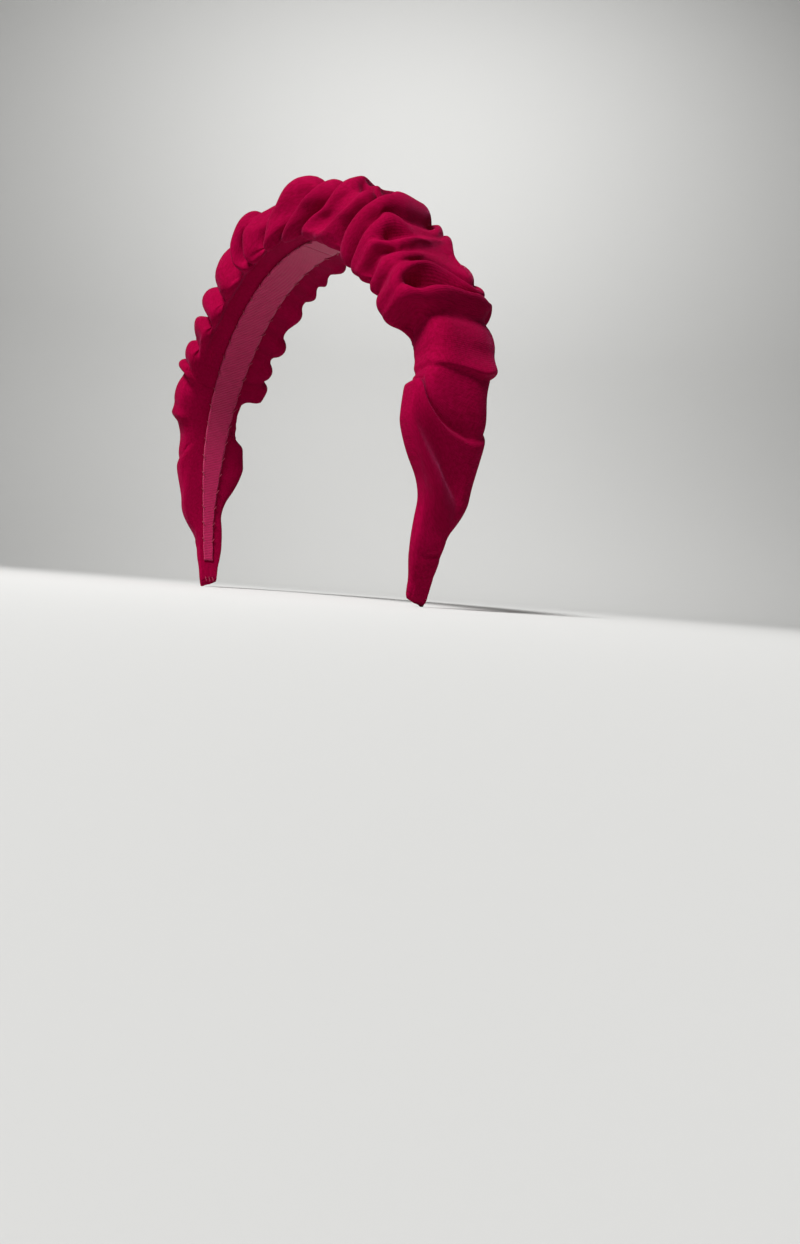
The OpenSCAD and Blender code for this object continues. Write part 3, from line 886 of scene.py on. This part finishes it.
def make_lining(left):
    """A ribbon glued and sewn along the inner face, its edges a little wavy between stitches."""
    rings = []
    for s in np.linspace(0, LINING_END, 175):
        half = float(smooth_through(LINING_HALF, np.array([s]))[0])
        swing = math.cos(2 * math.pi * s / STITCH_PITCH)
        wave = EDGE_WAVE * swing
        y = np.linspace(-half - wave, half + wave, 15)
        lift = EDGE_LIFT * (np.abs(y) / half) ** 6 * (1 + swing) / 2
        inner = arch(s, LINING_LO - lift * 0.5, y)
        outer = arch(s, LINING_T - lift * 0.5, y)
        rings.append(np.concatenate([inner, outer[::-1]]))
    rings = on_side(np.array(rings), left)
    points, faces = swept(rings)
    piece = make_mesh(f"lining_{side_name(left)}_ribbon", points, faces, cloth_uv(rings), closed=True)
    piece.data.materials.append(RIBBON)
    bend_at_flex(piece, left)
    nodes = ["lining_left", "lining_crown"] if left else ["lining_right"]
    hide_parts(*nodes)


THREAD_R = 0.2
THREAD_SIDES = 8
# Any direction that no stitch runs in
OFF_AXIS = (0.31, 0.12, 0.94)
# The thinnest that a stitch's end gets, as a share of its section
THREAD_END = 0.15


def thread_rings(path):
    """Rings of points round a short path of points, for one stitch."""
    forward = unit(np.gradient(path, axis=0))
    side = unit(np.cross(forward, OFF_AXIS))
    other = np.cross(forward, side)
    turn = 2 * np.pi * np.arange(THREAD_SIDES) / THREAD_SIDES
    ends = np.sqrt(np.clip(1 - np.linspace(-1, 1, len(path)) ** 8, THREAD_END, 1))
    across, over = np.cos(turn)[None, :, None], np.sin(turn)[None, :, None]
    spoke = side[:, None] * across + other[:, None] * over
    return path[:, None] + THREAD_R * ends[:, None, None] * spoke


def make_stitches(name, paths, left, nodes):
    """One piece of many stitches, which stands for the CAD nodes."""
    points, faces, uv = [], [], []
    for path in paths:
        rings = on_side(thread_rings(path), left)
        p, f = swept(rings, sum(len(q) for q in points))
        points.append(p)
        faces += f
        uv.append(cloth_uv(rings).reshape(-1, 2))
    piece = make_mesh(name, np.concatenate(points), faces, np.concatenate(uv), closed=True)
    piece.data.materials.append(THREAD)
    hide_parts(*nodes)
    return piece


# Points along a stitch, as shares of its half length
STITCH_T = np.linspace(-1, 1, 11)
# A whip stitch: half its length and half its width, its place over the inner face, its bow, and the
# dive of its ends, which starts near them
WHIP_HALF = (1.0, 0.75)
WHIP_R = -0.12
WHIP_BOW = 0.1
WHIP_DIVE = 0.55
WHIP_DIVE_AT = 0.72
# A tip stitch: how far past the cover's end its middle is, half its length and half its slant, its
# place over the inner face and its bow, and the places side by side
TIP_PAST = 0.1
TIP_HALF = (1.2, 0.25)
TIP_R = 0.3
TIP_BOW = 0.12
TIP_STITCHES = (-1.8, 0, 1.8)


def whip_stitch(s, edge):
    """A slanting stitch over the ribbon's edge: it comes up in the cover and goes down in the ribbon."""
    side = 1 if edge > 0 else -1
    y = edge - side * WHIP_HALF[1] * STITCH_T
    dive = WHIP_DIVE * np.clip(np.abs(STITCH_T) - WHIP_DIVE_AT, 0, 1)
    return arch(s + WHIP_HALF[0] * STITCH_T, WHIP_R - WHIP_BOW * np.cos(STITCH_T * np.pi / 2) + dive, y)


def tip_stitch(y):
    """A stitch that closes the tip, along the inner face."""
    r = TIP_R - TIP_BOW * np.cos(STITCH_T * np.pi / 2)
    return arch(COVER_END + TIP_PAST + TIP_HALF[0] * STITCH_T, r, y + TIP_HALF[1] * STITCH_T)


def make_all_stitches(left):
    """One arm's whip stitches along both edges of the ribbon, and its tip stitches."""
    paths = []
    for s in np.arange(STITCH_PITCH / 2, LINING_END - 2, STITCH_PITCH):
        half = float(smooth_through(LINING_HALF, np.array([s]))[0])
        paths += [whip_stitch(s, half), whip_stitch(s, -half)]
    side = side_name(left)
    nodes = ["lining_stitches_" + side] + (["lining_stitches_crown"] if left else [])
    piece = make_stitches(f"lining_{side}_whip_stitches", paths, left, nodes)
    bend_at_flex(piece, left)
    paths = [tip_stitch(y) for y in TIP_STITCHES]
    tips = make_stitches(f"tip_{side}_stitches", paths, left, ["end_stitches_" + side])
    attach(tips, side + "_arm")


for left in (True, False):
    make_lining(left)
    make_all_stitches(left)

# ---- Padding inside the cover ----

PAD_LO = 3.6
PAD_H = 9.0
PAD_END = 150.0
# The share of its height that the wadding loses at its end, and the power of its domed section
PAD_FEATHER = 0.85
PAD_DOME = 0.6
# Lumps along it: share of height, turn in radians to the millimetre, and start
PAD_LUMPS = [(0.03, 0.9, 0), (0.02, 2.3, 1)]
PAD_HALF = [(0, 12.6), (60, 12.4), (88, 7.8), (104, 5.8), (118, 5.2), (150, 4.0)]


def make_padding(left):
    """A strip of wadding, domed over the core and feathered out towards the tip."""
    rings = []
    for s in np.linspace(0, PAD_END, 90):
        half = float(smooth_through(PAD_HALF, np.array([s]))[0])
        h = PAD_H * (1 - PAD_FEATHER * float(ease(s / PAD_END)))
        lump = 1
        for share, rate, start in PAD_LUMPS:
            lump += share * math.sin(s * rate + start)
        turn = np.linspace(0, np.pi, 25)
        dome = arch(s, PAD_LO + h * lump * np.sin(turn) ** PAD_DOME, half * np.cos(turn))
        sole = arch(s, PAD_LO, np.linspace(-half, half, 12)[1:-1])
        rings.append(np.concatenate([dome, sole]))
    rings = on_side(np.array(rings), left)
    points, faces = swept(rings)
    piece = make_mesh(f"padding_{side_name(left)}_wadding", points, faces, closed=True)
    piece.data.materials.append(WADDING)
    bend_at_flex(piece, left)
    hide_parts(*(["padding_left", "padding_crown"] if left else ["padding_right"]))


for left in (True, False):
    make_padding(left)

# ---- CAD nodes that keep their shape ----

NODE_MATERIALS = {"core": plastic(), "sheath": satin(), "seam": crepe("seam_crepe", False)}
for name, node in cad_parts.items():
    for start, material in NODE_MATERIALS.items():
        if name.startswith(start):
            node.data.materials.clear()
            node.data.materials.append(material)

# ---- Stage: a round studio cove, lights ----

# In metres, as are the lights' places and sizes
FLOOR_Z = CAD_BOX[0][2] - 0.0005
COVE_R = 1.5
COVE_BEND = 0.5
COVE_TOP = 1.7
COVE_SIDES = 96
BEND_STEPS = 12
PAINT = (0.6, 0.6, 0.59)


def make_cove():
    """A flat floor that curves up into a wall all round, open at the top."""
    profile = [(0.0, 0.0), (COVE_R / 3, 0.0)]
    for k in range(BEND_STEPS + 1):
        a = math.pi / 2 * k / BEND_STEPS
        profile.append((COVE_R - COVE_BEND + COVE_BEND * math.sin(a), COVE_BEND * (1 - math.cos(a))))
    profile.append((COVE_R, COVE_TOP))
    turns = [2 * math.pi * j / COVE_SIDES for j in range(COVE_SIDES)]
    points = [(r * math.cos(a), r * math.sin(a), FLOOR_Z + z) for r, z in profile for a in turns]
    cove = make_mesh("cove", np.array(points) / MM, tube_faces(len(profile), COVE_SIDES))
    cove.data.materials.append(shader("cove_paint", PAINT, 0.95, 0.1)[0])


def area_light(name, place, power, size, spread, aim=(0, 0, -0.06)):
    """A square soft light at a place, pointed at its aim, spread in degrees."""
    data = bpy.data.lights.new(name, "AREA")
    data.energy = power
    data.size = size
    data.spread = math.radians(spread)
    light = bpy.data.objects.new(name, data)
    light.location = place
    light.rotation_euler = (Vector(aim) - Vector(place)).to_track_quat("-Z", "Y").to_euler()
    bpy.context.scene.collection.objects.link(light)


def make_world(color, strength):
    """Even light from all round."""
    world = bpy.data.worlds.new("world")
    world.use_nodes = True
    background = world.node_tree.nodes["Background"]
    background.inputs["Color"].default_value = (*color, 1)
    background.inputs["Strength"].default_value = strength
    bpy.context.scene.world = world


make_cove()
area_light("key", (0.35, -0.85, 1.0), power=4.0, size=0.4, spread=60)
area_light("wall_wash", (-0.35, 0.3, 1.3), power=8, size=0.6, spread=110, aim=(-1.15, 0.9, 0.3))
make_world((1.0, 0.99, 0.97), 0.15)
bpy.context.scene.view_settings.view_transform = "Standard"
